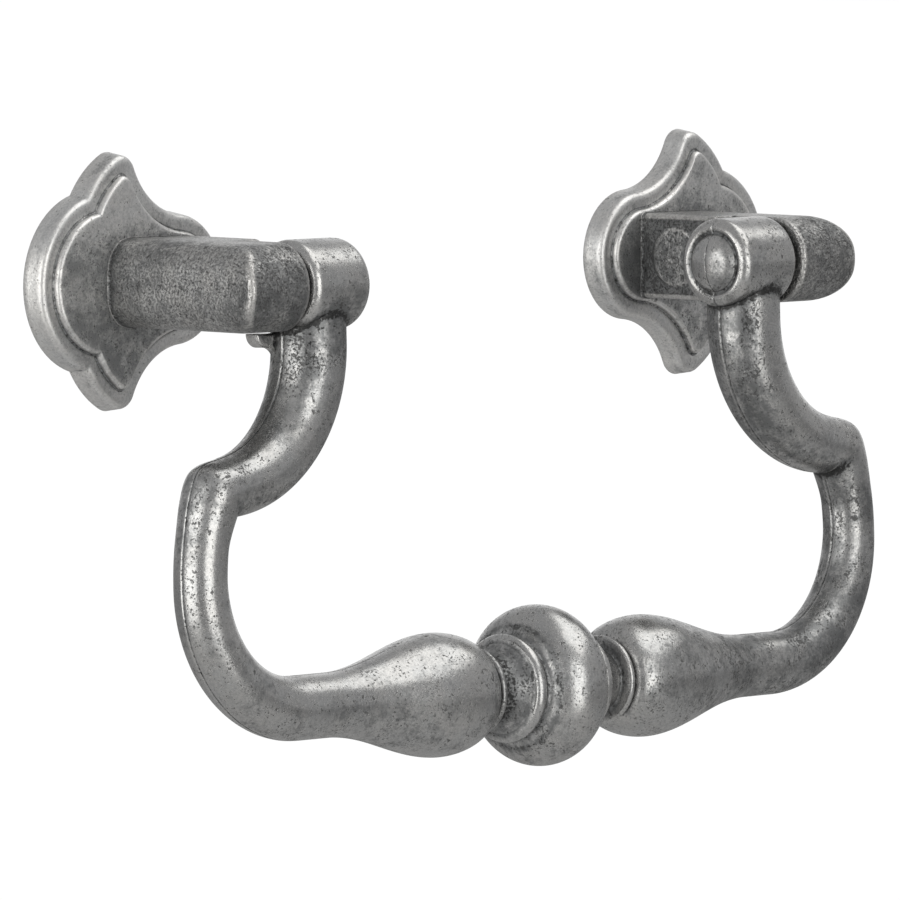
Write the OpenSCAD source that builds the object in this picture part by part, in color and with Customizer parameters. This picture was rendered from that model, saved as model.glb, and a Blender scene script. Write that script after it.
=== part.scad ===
// Swan-neck drop handle for a drawer or cabinet door.
// Two backplates, two posts with a pivot pin each, and one cast bail that hangs between them.
// The wall plane is Y = 0 and the handle stands out towards -Y.
// X runs along the handle, Z is up, and the pivot axis lies at Z = 0.
// The origin is midway between the two fixing holes.

/* [Fixing] */
// Distance between the two fixing holes, centre to centre
fixing_centres = 96; // [76:1:160]
// Radius of the clearance hole through each backplate
fixing_hole_r = 2.25; // [1.9:0.05:2.6]
// Radius of the tapped hole in each post, at the thread's minor diameter
thread_r = 1.65; // [1.2:0.05:1.8]
// Depth of the tapped hole from the root of the post
thread_depth = 10; // [6:0.5:11]

/* [Backplate] */
// Thickness of the rim, from the wall to the flat ledge
rim_t = 2.7; // [1.6:0.1:4]
// Height of the raised panel above the ledge
panel_rise = 0.7; // [0.3:0.1:1.5]
// Width of the flat ledge round the raised panel
ledge_w = 2.2; // [1:0.1:3]
// Radius that the panel keeps at its finial tips
panel_tip_r = 1.1; // [0.5:0.1:2]
// Radius of the outboard lobe
lobe_out_r = 10.3; // [9:0.1:13]
// Distance of the outboard lobe's centre from the fixing hole
lobe_out_x = 4.1; // [3:0.05:5]
// Radius of the inboard lobe
lobe_in_r = 7.7; // [6.5:0.1:9]
// Distance of the inboard lobe's centre from the fixing hole
lobe_in_x = 8.1; // [7:0.1:11]
// Height of each finial tip above or below the fixing hole
finial_h = 14.6; // [13.5:0.1:18]
// Radius of the rounded finial tip
finial_tip_r = 2.6; // [2.4:0.1:3.2]
// Distance of each finial tip outboard of the fixing hole
finial_tip_x = 1; // [0.4:0.1:1.2]
// Radius of the hollow between the inboard lobe and the finial
cove_r = 9; // [7:0.1:12]
// Radius of the outboard flank of the finial
flank_r = 12.2; // [10.5:0.1:16]
// Height of the sharp cusp where the flank meets the outboard lobe
cusp_h = 9.9; // [9.2:0.1:10]

/* [Post] */
// Distance of the pivot axis from the wall
pivot_out = 20.3; // [19.5:0.1:30]
// Half of the height of the post
post_half_h = 5.2; // [4.6:0.1:6]
// Reach of the post outboard of the fixing hole
post_out = 4.1; // [3.6:0.1:5]
// Reach of the root of the post inboard of the fixing hole
post_in = 9.1; // [8:0.1:10.5]
// Radius of the rounding on the outboard side
post_round_r = 4; // [2:0.1:4.4]
// Radius of the rounding on the inboard edges
post_edge_r = 0.8; // [0.3:0.1:1.5]
// Distance of the inboard face of the tongue from the fixing hole
tongue_in = 5.5; // [4:0.1:6.5]
// Radius of the round mark left by the mould on the inboard face
mark_r = 3.6; // [2:0.1:4]
// Height of that mark
mark_rise = 0.2; // [0.1:0.05:0.4]
// Distance of the mark's centre from the wall
mark_out = 8.7; // [8:0.1:10]

/* [Pivot] */
// Radius of the pivot pin
pin_r = 2; // [1.2:0.1:2.6]
// Running clearance of the pin in the barrel, on the radius
pin_clear = 0.05; // [0.03:0.01:0.1]
// Length of the pin inside the post
pin_in_post = 6.5; // [4:0.1:7.5]
// Length of the pin inside the barrel
pin_in_barrel = 5.5; // [3:0.1:6]
// Depth of the barrel's bore past the end of the pin
bore_spare = 0.4; // [0.2:0.1:1]
// Radius of the barrel
barrel_r = 5.2; // [4.6:0.1:6]
// Length of the straight part of the barrel
barrel_len = 8.2; // [7.8:0.1:10]
// Gap between the tongue and the barrel
barrel_gap = 0.9; // [0.3:0.1:1.5]
// Radius of the rounding on the barrel's inboard rim
barrel_round_r = 1.4; // [0.8:0.1:1.6]
// Radius of the rounding on the barrel's outboard rim
barrel_edge_r = 1.2; // [0.3:0.1:1.6]
// Radius of the dome on the barrel's inboard end
dome_r = 3.2; // [2:0.1:3.4]
// Height of that dome
dome_h = 1; // [0.5:0.1:1.5]
// Clearance between the barrel and the back of the notch in the post
seat_clear = 0.5; // [0.3:0.1:1]

/* [Bail] */
// Drop from the pivot axis to the axis of the grip
grip_drop = 47.3; // [44:0.1:70]
// Drop from the pivot axis to the widest point of the sides
side_drop = 32.4; // [29:0.1:34]
// Distance of the sides outboard of the fixing holes at that point
side_out = 7.9; // [6.5:0.05:12]
// Radius of the long curve of each side
side_bow_r = 25.5; // [22:0.5:40]
// Straight length of the leg below the pivot axis
leg_straight = 6.6; // [4:0.1:8]
// Radius of the swan neck
neck_bend_r = 15.5; // [13:0.1:17]
// Angle that the swan neck turns through
neck_turn = 84; // [70:1:88]
// Radius of the leg at the barrel
leg_r = 4.3; // [3.4:0.05:4.6]
// Radius of the leg at the shoulder
shoulder_r = 3.45; // [2.8:0.05:3.8]
// Radius of the sides at their widest point
side_r = 3.05; // [2.6:0.05:3.6]
// Radius of the rod where the grip begins
grip_root_r = 3.7; // [3:0.05:4.2]
// Angle that the bail stands off the vertical, held by its stops
hang_angle = 1.8; // [0:0.1:4]

/* [Grip] */
// Radius of the central knob
knob_r = 9.3; // [8:0.1:11]
// Radius of the round section of the knob's rim
knob_rim_r = 4.7; // [4:0.1:4.7]
// Radius of the bead on each side of the knob
bead_r = 6.25; // [5.5:0.05:6.8]
// Width of each bead
bead_w = 1.6; // [1.2:0.1:2]
// Radius of the neck beside the thin collar
neck_r = 3.8; // [3.2:0.05:4.2]
// Distance of the neck's inner end from the middle of the grip
neck_from = 6.3; // [6.2:0.05:6.8]
// Distance of the thin collar from the middle of the grip
collar_from = 10.6; // [9.8:0.05:11.2]
// Radius of the thin collar
collar_r = 5.1; // [4.6:0.05:5.6]
// Width of the thin collar
collar_w = 0.8; // [0.6:0.05:1.2]
// Radius of the pear-shaped swelling
pear_r = 7.1; // [6:0.05:8.5]
// Distance of the thickest point of the swelling from the middle
pear_from = 18; // [16.5:0.1:20]
// Distance of the swelling's thin end from the middle
pear_to = 36; // [32:0.1:38]

/* [Stop] */
// Thickness of the stop nib on the wall side of each leg
nib_t = 1.9; // [1.2:0.1:2.6]
// Distance of the nib's front face behind the axis of the leg
nib_back = 1.3; // [0:0.1:1.5]
// Height of the nib
nib_h = 1.6; // [1.2:0.1:2.4]
// Reach of the nib outboard of the barrel's inboard rim
nib_reach = 11.2; // [10.2:0.1:13]
// Radius of the fillet between the nib and the leg
nib_fillet_r = 1.4; // [0.5:0.1:2]
// Gap between the nib and the underside of the post
nib_gap = 0.12; // [0.1:0.02:0.4]

/* [Hidden] */
fine = 96;
arc_step = 6;
facet_sides = 18;
over = 0.5;
half_centres = fixing_centres / 2;
plate_t = rim_t + panel_rise;
post_front = pivot_out + post_half_h;
seat_r = barrel_r + seat_clear;
barrel_start = half_centres - tongue_in - barrel_gap;
barrel_mid = barrel_start - barrel_len / 2;
barrel_end = barrel_start - barrel_len;
bore_r = pin_r + pin_clear;
bore_depth = pin_in_barrel + bore_spare;
pin_len = pin_in_post + barrel_gap + pin_in_barrel;
pin_chamfer = 0.3;
groove_r = 0.3;
side_x = half_centres + side_out;
foot_bend_r = grip_drop - side_drop;
collar_gap = 0.45;
collar_edge = 0.2;
neck_hollow = 2.2;
join_step = 0.05;
pear_start_share = 0.62;
pear_start_r = pear_start_share * pear_r;
pear_fall = 0.9;
nib_top = post_half_h + nib_gap;

metal = [0.55, 0.55, 0.54];
steel = [0.72, 0.73, 0.74];

// Point at distance ra from a and rb from b, on the left of the way from a to b.
function meet(a, ra, b, rb) =
    let (d = norm(b - a), t = (ra * ra - rb * rb + d * d) / (2 * d), e = (b - a) / d)
    a + t * e + sqrt(max(0, ra * ra - t * t)) * [-e[1], e[0]];

// First point where the ray from p along the unit vector d leaves the circle of radius r about c.
function leave(p, d, c, r) =
    let (m = p - c, b = m * d)
    p + (-b + sqrt(max(0, b * b - m * m + r * r))) * d;

function polar(r, a) = r * [cos(a), sin(a)];

function heading(v) = atan2(v[1], v[0]);

// Points along an arc about c, from one angle to another.
function arc(c, r, from, to) =
    let (n = ceil(abs(to - from) / arc_step))
    [for (i = [0 : n]) c + polar(r, from + (to - from) * i / n)];

// Centres of the arcs of the backplate, for its upper half, with +x outboard.
lobe_out = [lobe_out_x, 0];
lobe_in = [-lobe_in_x, 0];
finial_tip = [finial_tip_x, finial_h - finial_tip_r];
cusp = [lobe_out_x + sqrt(lobe_out_r * lobe_out_r - cusp_h * cusp_h), cusp_h];
flank = meet(cusp, flank_r, finial_tip, flank_r - finial_tip_r);
cove = meet(lobe_in, lobe_in_r + cove_r, finial_tip, finial_tip_r + cove_r);

// Upper half of the backplate's outline, drawn in by the inset. The arcs keep their centres, but for
// the one of the tip, which moves down where its radius would get smaller than the panel's.
function half_outline(inset) =
    let (crossing = meet(flank, flank_r - inset, lobe_out, lobe_out_r - inset),
         tip_r = max(finial_tip_r - inset, panel_tip_r),
         tip = meet(cove, cove_r + inset + tip_r, flank, flank_r - inset - tip_r))
    concat(
        arc(lobe_out, lobe_out_r - inset, 0, heading(crossing - lobe_out)),
        arc(flank, flank_r - inset, heading(crossing - flank), heading(tip - flank)),
        arc(tip, tip_r, heading(tip - flank), heading(cove - tip)),
        arc(cove, cove_r + inset, heading(tip - cove), heading(lobe_in - cove)),
        arc(lobe_in, lobe_in_r - inset, heading(cove - lobe_in), 180));

module plate_outline(inset) {
    upper = half_outline(inset);
    count = len(upper);
    polygon(concat(upper, [for (i = [count - 2 : -1 : 1]) [upper[i][0], -upper[i][1]]]));
}

// Puts an outline drawn in X and Z between two distances from the wall.
module from_wall(near, far) {
    translate([0, -near, 0]) rotate([90, 0, 0]) linear_extrude(height = far - near) children();
}

// Backplate about its own fixing hole, with +X outboard.
module backplate() {
    difference() {
        union() {
            from_wall(0, rim_t) plate_outline(0);
            from_wall(rim_t - over, plate_t) plate_outline(ledge_w);
        }
        translate([0, over, 0]) rotate([90, 0, 0])
            cylinder(r = fixing_hole_r, h = plate_t + 2 * over, $fn = fine);
    }
}

// Section of the post seen from the front: flat inboard face, rounded outboard face.
module post_section() {
    difference() {
        translate([-post_in, -post_half_h]) square([post_in + post_out, 2 * post_half_h]);
        for (side = [0, 1]) mirror([0, side]) {
            difference() {
                translate([post_out - post_round_r, post_half_h - post_round_r])
                    square(post_round_r + over);
                translate([post_out - post_round_r, post_half_h - post_round_r])
                    circle(r = post_round_r, $fn = fine);
            }
            difference() {
                translate([-post_in - over, post_half_h - post_edge_r])
                    square(post_edge_r + over);
                translate([-post_in + post_edge_r, post_half_h - post_edge_r])
                    circle(r = post_edge_r, $fn = fine);
            }
        }
    }
}

// Cylinder along X from one distance to another, about an axis that far out from the wall.
module along_x(r, from, to, out) {
    translate([from, -out, 0]) rotate([0, 90, 0]) cylinder(r = r, h = to - from, $fn = fine);
}

// Post about its own fixing hole, with +X outboard.
module post() {
    difference() {
        union() {
            intersection() {
                from_wall(plate_t, post_front) post_section();
                union() {
                    along_x(post_half_h, -post_in - over, post_out + over, pivot_out);
                    translate([-post_in - over, -pivot_out, -post_half_h])
                        cube([post_in + post_out + 2 * over, pivot_out, 2 * post_half_h]);
                }
            }
            along_x(mark_r, -post_in - mark_rise, -post_in + over, mark_out);
        }
        post_seat();
        along_x(pin_r, -tongue_in - over, -tongue_in + pin_in_post, pivot_out);
        translate([0, -plate_t + over, 0]) rotate([90, 0, 0])
            cylinder(r = thread_r, h = thread_depth + over, $fn = fine);
    }
}

// Notch cut out of the post for the barrel and the leg, with a flat back that clears the barrel.
module post_seat() {
    reach = post_in + mark_rise + over;
    translate([-reach, -post_front - over, -post_half_h - over])
        cube([reach - tongue_in, post_half_h + over + seat_r, 2 * (post_half_h + over)]);
}

module pivot_pin() {
    from = -tongue_in - barrel_gap - pin_in_barrel;
    translate([from, -pivot_out, 0]) rotate([0, 90, 0]) rotate_extrude($fn = fine)
        polygon([[0, 0], [pin_r - pin_chamfer, 0], [pin_r, pin_chamfer],
                 [pin_r, pin_len - pin_chamfer], [pin_r - pin_chamfer, pin_len], [0, pin_len]]);
}

// Path of one side of the bail, in its own plane: place along X, height, direction and radius.
neck_centre = [barrel_mid + neck_bend_r, -leg_straight];
neck_end = neck_centre - polar(neck_bend_r, neck_turn);
neck_dir = [sin(neck_turn), -cos(neck_turn)];
bow_centre = [side_x - side_bow_r, -side_drop];
shoulder = leave(neck_end, neck_dir, bow_centre, side_bow_r);
bow_start = asin((shoulder[1] - bow_centre[1]) / side_bow_r);
shoulder_half_turn = (neck_turn - bow_start) / 2;
foot_centre = [side_x - foot_bend_r, -side_drop];

neck_steps = 12;
bow_steps = 4;
foot_steps = 10;

function blend(a, b, t) = a + (b - a) * t;

// Each entry is [x, z, heading in degrees, radius in the plane, radius across it].
function leg_path() = [
    [barrel_mid, 0, -90, leg_r, leg_r],
    for (i = [0 : neck_steps])
        let (t = i / neck_steps, a = t * neck_turn, p = neck_centre - polar(neck_bend_r, a),
             r = blend(leg_r, shoulder_r, t * t))
        [p[0], p[1], a - 90, r, r]];

function shoulder_path() =
    [[shoulder[0], shoulder[1], neck_turn - 90 - shoulder_half_turn,
      shoulder_r / cos(shoulder_half_turn), shoulder_r]];

function bow_path() = [
    for (i = [1 : bow_steps])
        let (t = i / bow_steps, a = bow_start * (1 - t), p = bow_centre + polar(side_bow_r, a))
        [p[0], p[1], a - 90, side_r, side_r]];

function foot_path() = [
    for (i = [1 : foot_steps])
        let (t = i / foot_steps, a = -90 * t, p = foot_centre + polar(foot_bend_r, a),
             r = blend(side_r, grip_root_r, t))
        [p[0], p[1], a - 90, r, r],
    [pear_to - over, -grip_drop, -180, grip_root_r, grip_root_r]];

// Ring of points about one entry of the path. The ring stands square to the heading.
function ring(s, sides) = [
    for (k = [0 : sides - 1])
        let (a = 360 * k / sides, u = s[3] * cos(a), v = s[4] * sin(a))
        [s[0] - u * sin(s[2]), v, s[1] + u * cos(s[2])]];

// Closed skin over the rings of a path.
module swept(path, sides) {
    count = len(path);
    points = [for (s = path) each ring(s, sides)];
    skin = [
        for (i = [0 : count - 2], k = [0 : sides - 1])
            let (a = i * sides + k, b = i * sides + (k + 1) % sides)
            each [[a, b, b + sides], [a, b + sides, a + sides]]];
    start = [[for (k = [0 : sides - 1]) sides - 1 - k]];
    end = [[for (k = [0 : sides - 1]) (count - 1) * sides + k]];
    polyhedron(points = points, faces = concat(skin, start, end), convexity = 6);
}

module bail_side() {
    swept(concat(leg_path(), shoulder_path(), bow_path(), foot_path()), facet_sides);
}

// Half section of the barrel, in radius and distance from its inboard face. Both rims are rounded and
// the inboard face has the groove round the dome.
module barrel_section() {
    total = barrel_len + barrel_round_r;
    difference() {
        square([barrel_r, total]);
        translate([barrel_r - barrel_round_r, -over]) difference() {
            square(barrel_round_r + over);
            translate([0, barrel_round_r + over]) circle(r = barrel_round_r, $fn = fine);
        }
        translate([barrel_r - barrel_edge_r, total - barrel_edge_r]) difference() {
            square(barrel_edge_r + over);
            circle(r = barrel_edge_r, $fn = fine);
        }
        translate([dome_r + groove_r, 0]) circle(r = groove_r, $fn = fine);
    }
}

// Barrel with its dome, in the bail's own plane.
module barrel() {
    face = barrel_end - barrel_round_r;
    dome_ball_r = (dome_r * dome_r + dome_h * dome_h) / (2 * dome_h);
    translate([face, 0, 0]) rotate([0, 90, 0]) rotate_extrude($fn = fine) barrel_section();
    intersection() {
        translate([face - dome_h + dome_ball_r, 0, 0]) sphere(r = dome_ball_r, $fn = fine);
        along_x(dome_r, face - dome_h - over, face + over, 0);
    }
}

// Stop nib: a tab on the wall side of the leg, just under the post, with a round lower corner.
// It is drawn in X and Z. The fillet under it is turned about the axis of the leg.
module nib() {
    end = barrel_end + nib_reach;
    low = nib_top + nib_h;
    translate([0, nib_back + nib_t, 0]) rotate([90, 0, 0]) linear_extrude(height = nib_t)
        difference() {
            translate([barrel_mid, -low]) square([end - barrel_mid, nib_h]);
            translate([end - nib_h, -low]) difference() {
                square([nib_h + over, nib_h]);
                translate([0, nib_h]) circle(r = nib_h, $fn = fine);
            }
        }
    translate([barrel_mid, 0, -low - nib_fillet_r]) intersection() {
        rotate_extrude($fn = fine) nib_fillet();
        translate([0, nib_back, 0]) cube([leg_r + nib_fillet_r, nib_t, nib_fillet_r + over]);
    }
}

// Half section of that fillet, in radius and height.
module nib_fillet() {
    difference() {
        square([leg_r + nib_fillet_r, nib_fillet_r + over]);
        translate([leg_r + nib_fillet_r, 0]) circle(r = nib_fillet_r, $fn = fine);
    }
}

// Half of the turned outline of the grip, from the middle of the knob outwards.
knob_centre_r = knob_r - knob_rim_r;
bead_mid = neck_from - bead_w / 2;
knob_sweep = 75;
turn_steps = 12;

function knob_outline() = [
    for (i = [0 : turn_steps])
        let (a = knob_sweep * i / turn_steps)
        [knob_rim_r * sin(a), knob_centre_r + knob_rim_r * cos(a)]];

function bead_outline() = [
    for (i = [0 : turn_steps])
        let (a = 180 * i / turn_steps)
        [bead_mid - bead_w / 2 * cos(a), bead_r - bead_w / 2 + bead_w / 2 * sin(a)]];

function neck_outline() = [
    for (i = [1 : turn_steps])
        let (t = i / turn_steps)
        [blend(neck_from, collar_from, t), neck_r + (bead_r - bead_w / 2 - neck_r) * pow(1 - t, neck_hollow)]];

function collar_outline() = [
    [collar_from, collar_r - collar_edge], [collar_from + collar_edge, collar_r],
    [collar_from + collar_w - collar_edge, collar_r], [collar_from + collar_w, collar_r - collar_edge],
    [collar_from + collar_w, pear_start_r], [collar_from + collar_w + collar_gap, pear_start_r]];

// The swelling rises as a quarter of an ellipse, then falls away along a cosine. It ends a step
// wider than the rod, which runs into its end.
function pear_outline() =
    let (from = collar_from + collar_w + collar_gap)
    [for (i = [1 : turn_steps])
        let (a = 90 * i / turn_steps)
        [pear_from - (pear_from - from) * cos(a), pear_start_r + (pear_r - pear_start_r) * sin(a)],
     for (i = [1 : turn_steps])
        let (t = i / turn_steps)
        [blend(pear_from, pear_to, t),
         blend(grip_root_r + join_step, pear_r, (1 + cos(180 * pow(t, pear_fall))) / 2)]];

module grip_half() {
    outline = concat(knob_outline(), bead_outline(), neck_outline(), collar_outline(), pear_outline());
    rotate([0, 90, 0]) rotate_extrude($fn = fine)
        polygon([[0, 0], for (p = outline) [p[1], p[0]], [0, pear_to]]);
}

module bail_half() {
    difference() {
        union() {
            barrel();
            bail_side();
            nib();
            translate([0, 0, -grip_drop]) grip_half();
        }
        along_x(bore_r, barrel_start - bore_depth, barrel_start + over, 0);
    }
}

module bail() {
    color(metal) translate([0, -pivot_out, 0]) rotate([-hang_angle, 0, 0]) {
        bail_half();
        mirror([1, 0, 0]) bail_half();
    }
}

module backplate_right() {
    color(metal) translate([half_centres, 0, 0]) backplate();
}

module backplate_left() {
    color(metal) mirror([1, 0, 0]) translate([half_centres, 0, 0]) backplate();
}

module post_right() {
    color(metal) translate([half_centres, 0, 0]) post();
}

module post_left() {
    color(metal) mirror([1, 0, 0]) translate([half_centres, 0, 0]) post();
}

module pivot_pin_right() {
    color(steel) translate([half_centres, 0, 0]) pivot_pin();
}

module pivot_pin_left() {
    color(steel) mirror([1, 0, 0]) translate([half_centres, 0, 0]) pivot_pin();
}

backplate_left();
backplate_right();
post_left();
post_right();
pivot_pin_left();
pivot_pin_right();
bail();
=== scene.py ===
"""Looks of the swan-neck drop handle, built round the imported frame.

Sizes are in millimetres and turn into metres when a mesh is made. X runs along the handle, Z is up and
the wall plane is Y = 0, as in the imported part. Shapes of the right half are mirrored for the left one.
"""
import bpy
import math
import numpy as np
from mathutils import Matrix, Vector


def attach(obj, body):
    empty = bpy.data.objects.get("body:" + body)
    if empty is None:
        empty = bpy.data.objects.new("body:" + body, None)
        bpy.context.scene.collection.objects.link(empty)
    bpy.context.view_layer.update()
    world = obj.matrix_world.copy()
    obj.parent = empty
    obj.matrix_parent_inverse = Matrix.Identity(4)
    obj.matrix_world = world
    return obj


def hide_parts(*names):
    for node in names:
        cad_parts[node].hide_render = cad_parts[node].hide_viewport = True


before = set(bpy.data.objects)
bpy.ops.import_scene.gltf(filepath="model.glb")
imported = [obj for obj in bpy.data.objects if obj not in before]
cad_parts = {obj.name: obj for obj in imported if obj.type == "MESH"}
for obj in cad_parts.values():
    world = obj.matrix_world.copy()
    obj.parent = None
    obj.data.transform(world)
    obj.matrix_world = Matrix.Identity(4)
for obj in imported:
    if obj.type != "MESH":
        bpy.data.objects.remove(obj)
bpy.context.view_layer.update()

# Sizes of the pieces. OUT is measured from the wall, IN and SHIFT from the fixing hole's axis, DROP
# down from the pivot axis, and START, END, MID and X from the handle's middle. HALVINGS is how often
# the search for the post's skin halves its rays.
HALF_CENTRES = 48.0
PIVOT_OUT = 20.3
HANG = math.radians(1.8)
TONGUE_IN = 5.5
POST_IN = 9.1
POST_SIDE_R = 4.0
POST_SHIFT = 0.1
POST_HALF_H = 5.2
NOTCH_OUT = 14.6
MARK_OUT = 8.7
MARK_R = 3.3
PANEL_OUT = 3.4
HOLE_R = 2.25
HOLE_EDGE = 0.15
THREAD_R = 1.65
THREAD_PITCH = 0.7
TAP_MOUTH_R = 2.05
TAP_DEPTH = 10.0
HALVINGS = 26
BARREL_R = 5.2
BARREL_START = HALF_CENTRES - TONGUE_IN - 0.9
BARREL_END = BARREL_START - 8.2
BARREL_MID = (BARREL_START + BARREL_END) / 2
BARREL_ROUND = 1.4
BARREL_EDGE = 1.2
BORE_R = 2.05
DOME_R = 3.4
DOME_H = 1.3
LEG_R = 4.3
LEG_STRAIGHT = 6.6
NECK_BEND_R = 15.5
NECK_TURN = math.radians(84)
SHOULDER_R = 3.45
SIDE_R = 3.05
SIDE_X = HALF_CENTRES + 7.9
SIDE_DROP = 32.4
SIDE_BOW_R = 25.5
GRIP_DROP = 47.3
GRIP_ROOT_R = 3.7
KNOB_R = 4.7
KNOB_CENTRE_R = 4.59
NECK_R = 3.66
PEAR_X = 18.0
PEAR_LOW_R = 4.4
PEAR_R = 7.1
PEAR_TO = 36.0
SEAM_HALF_W = 0.14
SEAM_DEPTH = 0.07
SEAM_STEP = 0.02
NIB_BACK = 1.3
NIB_T = 1.9
NIB_H = 1.6
NIB_END = BARREL_END + 11.2
NIB_TOP = POST_HALF_H + 0.04
NIB_FILLET_R = 1.4
NIB_EDGE = 0.3
PLATE_TIP = 14.598
PLATE_RIM_R = 0.76
PLATE_STEP_R = 0.56


# Small helpers

def smooth(low, high, value):
    """Rises from 0 at low to 1 at high along the curve three t squared less two t cubed."""
    t = np.clip((value - low) / (high - low), 0, 1)
    return t * t * (3 - 2 * t)


def blend(a, b, t):
    """The value at a share t of the way from a to b."""
    return a + (b - a) * t


def arc_points(centre, radius, start, end, count):
    """Points on a circle at evenly spaced angles from start towards end, in degrees; the end is left out."""
    a = np.radians(start + (end - start) * np.arange(count) / count)
    return np.stack([centre[0] + radius * np.cos(a), centre[1] + radius * np.sin(a)], axis=-1)


def ring_angles(count):
    """Angles round a section: even steps less 0.35 times the sine of twice the angle, so that they
    crowd at 0 and 180 degrees, where the parting line of the casting runs."""
    t = 2 * np.pi * np.arange(count) / count
    return t - 0.35 * np.sin(2 * t)


def seam_depth(across, fade):
    """Parting line: a groove whose depth falls as a bell curve of the distance across it, and a step
    over it that follows the hyperbolic tangent of that distance."""
    groove = SEAM_DEPTH * np.exp(-(across / SEAM_HALF_W) ** 2)
    step = SEAM_STEP * np.tanh(across / 0.1)
    return fade * (step - groove - SEAM_STEP)


def ring_quads(rows, cols):
    """Quads of a grid of rows whose columns close into a ring."""
    i = np.arange(rows - 1)[:, None] * cols
    j = np.arange(cols)[None, :]
    k = (j + 1) % cols
    return np.stack([i + j, i + k, i + cols + k, i + cols + j], axis=-1).reshape(-1, 4)


def capped(grid):
    """Shell of a ring grid of shape rows, columns, 3, with a fan to the middle of its first and last row."""
    rows, cols = grid.shape[:2]
    points = np.concatenate([grid.reshape(-1, 3), grid[:1].mean(axis=1), grid[-1:].mean(axis=1)])
    j = np.arange(cols)
    k = (j + 1) % cols
    last = (rows - 1) * cols
    first_fan = np.stack([k, j, np.full(cols, rows * cols)], axis=-1)
    last_fan = np.stack([last + j, last + k, np.full(cols, rows * cols + 1)], axis=-1)
    return points, ring_quads(rows, cols), np.concatenate([first_fan, last_fan])


def closed_round(grid):
    """Shell of a ring grid whose last row also joins its first, like a tyre."""
    rows, cols = grid.shape[:2]
    quads = ring_quads(rows + 1, cols) % (rows * cols)
    return grid.reshape(-1, 3), quads, np.zeros((0, 3), int)


def outward(shell):
    """Turns a shell's faces over where its volume, summed over its triangles, comes out negative."""
    points, quads, tris = shell
    all_tris = np.concatenate([quads[:, [0, 1, 2]], quads[:, [0, 2, 3]], tris])
    a, b, c = (points[all_tris[:, n]] for n in range(3))
    if np.einsum("ij,ij->i", a, np.cross(b, c)).sum() < 0:
        return points, quads[:, ::-1], tris[:, ::-1]
    return shell


def mirrored(shell):
    """The same shell on the other side of X = 0."""
    points, quads, tris = shell
    return points * [-1, 1, 1], quads[:, ::-1], tris[:, ::-1]


def spread(values, i, j, rounds):
    """Averages each vertex's value with the mean of its neighbours, a number of rounds."""
    share = np.maximum(np.bincount(i, minlength=len(values)), 1)
    for _ in range(rounds):
        around = np.bincount(i, weights=values[j], minlength=len(values)) / share
        values = 0.5 * (values + around)
    return values


def curvature(points, quads, tris):
    """Mean curvature at each vertex: the mean, over its edges, of twice the depth of the neighbour
    below the tangent plane, over its distance squared. Ridges are positive and hollows negative. It
    is held within 4 per millimetre and then averaged with the neighbours three times."""
    all_tris = np.concatenate([quads[:, [0, 1, 2]], quads[:, [0, 2, 3]], tris])
    a, b, c = (points[all_tris[:, n]] for n in range(3))
    face = np.cross(b - a, c - a)
    normal = np.stack([sum(np.bincount(all_tris[:, n], weights=face[:, m], minlength=len(points))
                           for n in range(3)) for m in range(3)], axis=-1)
    normal /= np.maximum(np.linalg.norm(normal, axis=1, keepdims=True), 1e-12)
    edges = np.concatenate([quads[:, [0, 1]], quads[:, [1, 2]], quads[:, [2, 3]], quads[:, [3, 0]],
                            tris[:, [0, 1]], tris[:, [1, 2]], tris[:, [2, 0]]])
    edges = np.unique(np.sort(edges, axis=1), axis=0)
    i = np.concatenate([edges[:, 0], edges[:, 1]])
    j = np.concatenate([edges[:, 1], edges[:, 0]])
    step = points[j] - points[i]
    far = np.maximum(np.einsum("ij,ij->i", step, step), 1e-6)
    bend = -2 * np.einsum("ij,ij->i", normal[i], step) / far
    share = np.maximum(np.bincount(i, minlength=len(points)), 1)
    mean = np.bincount(i, weights=bend, minlength=len(points)) / share
    return spread(np.clip(mean, -4, 4), i, j, 3)


def piece(name, shells, contact, rubbed, body, material, stands_for):
    """One mesh object from shells in millimetres. Its attributes come from the curvature: wear on
    ridges, and a darkening in hollows, which is patina. Two functions of the points steer them: rubbed
    is the share of wear that an edge keeps, and contact is the least darkening at a point, about 1
    where dirt stays and where shade is painted in."""
    shells = [outward(s) for s in shells]
    starts = np.cumsum([0] + [len(s[0]) for s in shells[:-1]])
    points = np.concatenate([s[0] for s in shells])
    quads = np.concatenate([s[1] + n for s, n in zip(shells, starts)])
    tris = np.concatenate([s[2] + n for s, n in zip(shells, starts)]).astype(int)
    bend = curvature(points, quads, tris)
    wear = smooth(0.24, 0.75, bend) * rubbed(points)
    # The darkening attribute: patina from the curvature in hollows, and painted shade and dirt from contact
    grime_and_shade = np.maximum(0.8 * smooth(-0.04, -0.6, bend), contact(points))
    mesh = bpy.data.meshes.new(name)
    mesh.from_pydata(points / 1000, [], quads.tolist() + tris.tolist())
    for label, values in (("wear", wear), ("grime_and_shade", grime_and_shade)):
        layer = mesh.attributes.new(label, "FLOAT", "POINT")
        layer.data.foreach_set("value", values.astype(np.float32))
    mesh.polygons.foreach_set("use_smooth", np.ones(len(mesh.polygons), bool))
    mesh.update()
    mesh.materials.append(material)
    made = bpy.data.objects.new(name, mesh)
    bpy.context.scene.collection.objects.link(made)
    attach(made, body)
    if stands_for:
        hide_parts(*stands_for)


# The bail, drawn in its own plane and then leant out

def in_place(grid):
    """Turns points from the bail's own plane to where the bail hangs: back by the pivot's distance,
    and leaning out about the pivot axis."""
    x, y, z = np.moveaxis(grid, -1, 0)
    c, s = math.cos(HANG), math.sin(HANG)
    return np.stack([x, y * c + z * s - PIVOT_OUT, z * c - y * s], axis=-1)


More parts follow.
